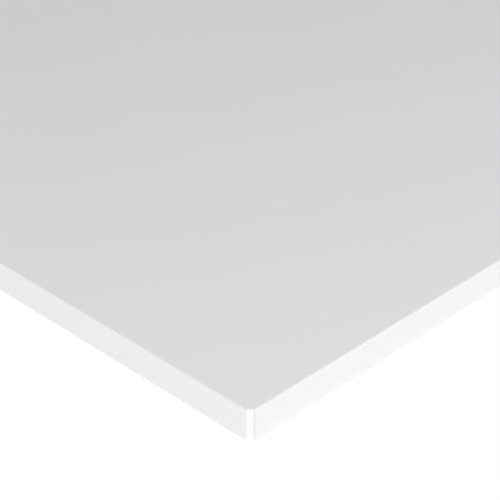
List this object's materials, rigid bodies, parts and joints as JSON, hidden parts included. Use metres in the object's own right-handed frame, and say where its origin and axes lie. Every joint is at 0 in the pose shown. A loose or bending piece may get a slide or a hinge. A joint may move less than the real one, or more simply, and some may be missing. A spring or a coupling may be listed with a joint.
{
  "type": "metal ceiling tile",
  "caption": "Plain lay-in ceiling tile of coated sheet steel: a flat face with its sides folded into low flanges that leave the corners open.",
  "frame": {"origin": "centre of the tile at the level of its flanges' free edges, which it rests on", "axes": "+Z out of the visible face, +X and +Y square to the flanges"},
  "size_m": [0.595, 0.595, 0.015],
  "materials": {
    "powder_coat": "satin"
  },
  "bodies": {
    "root": {"ceiling_tile": "powder_coat"}
  },
  "joints": []
}
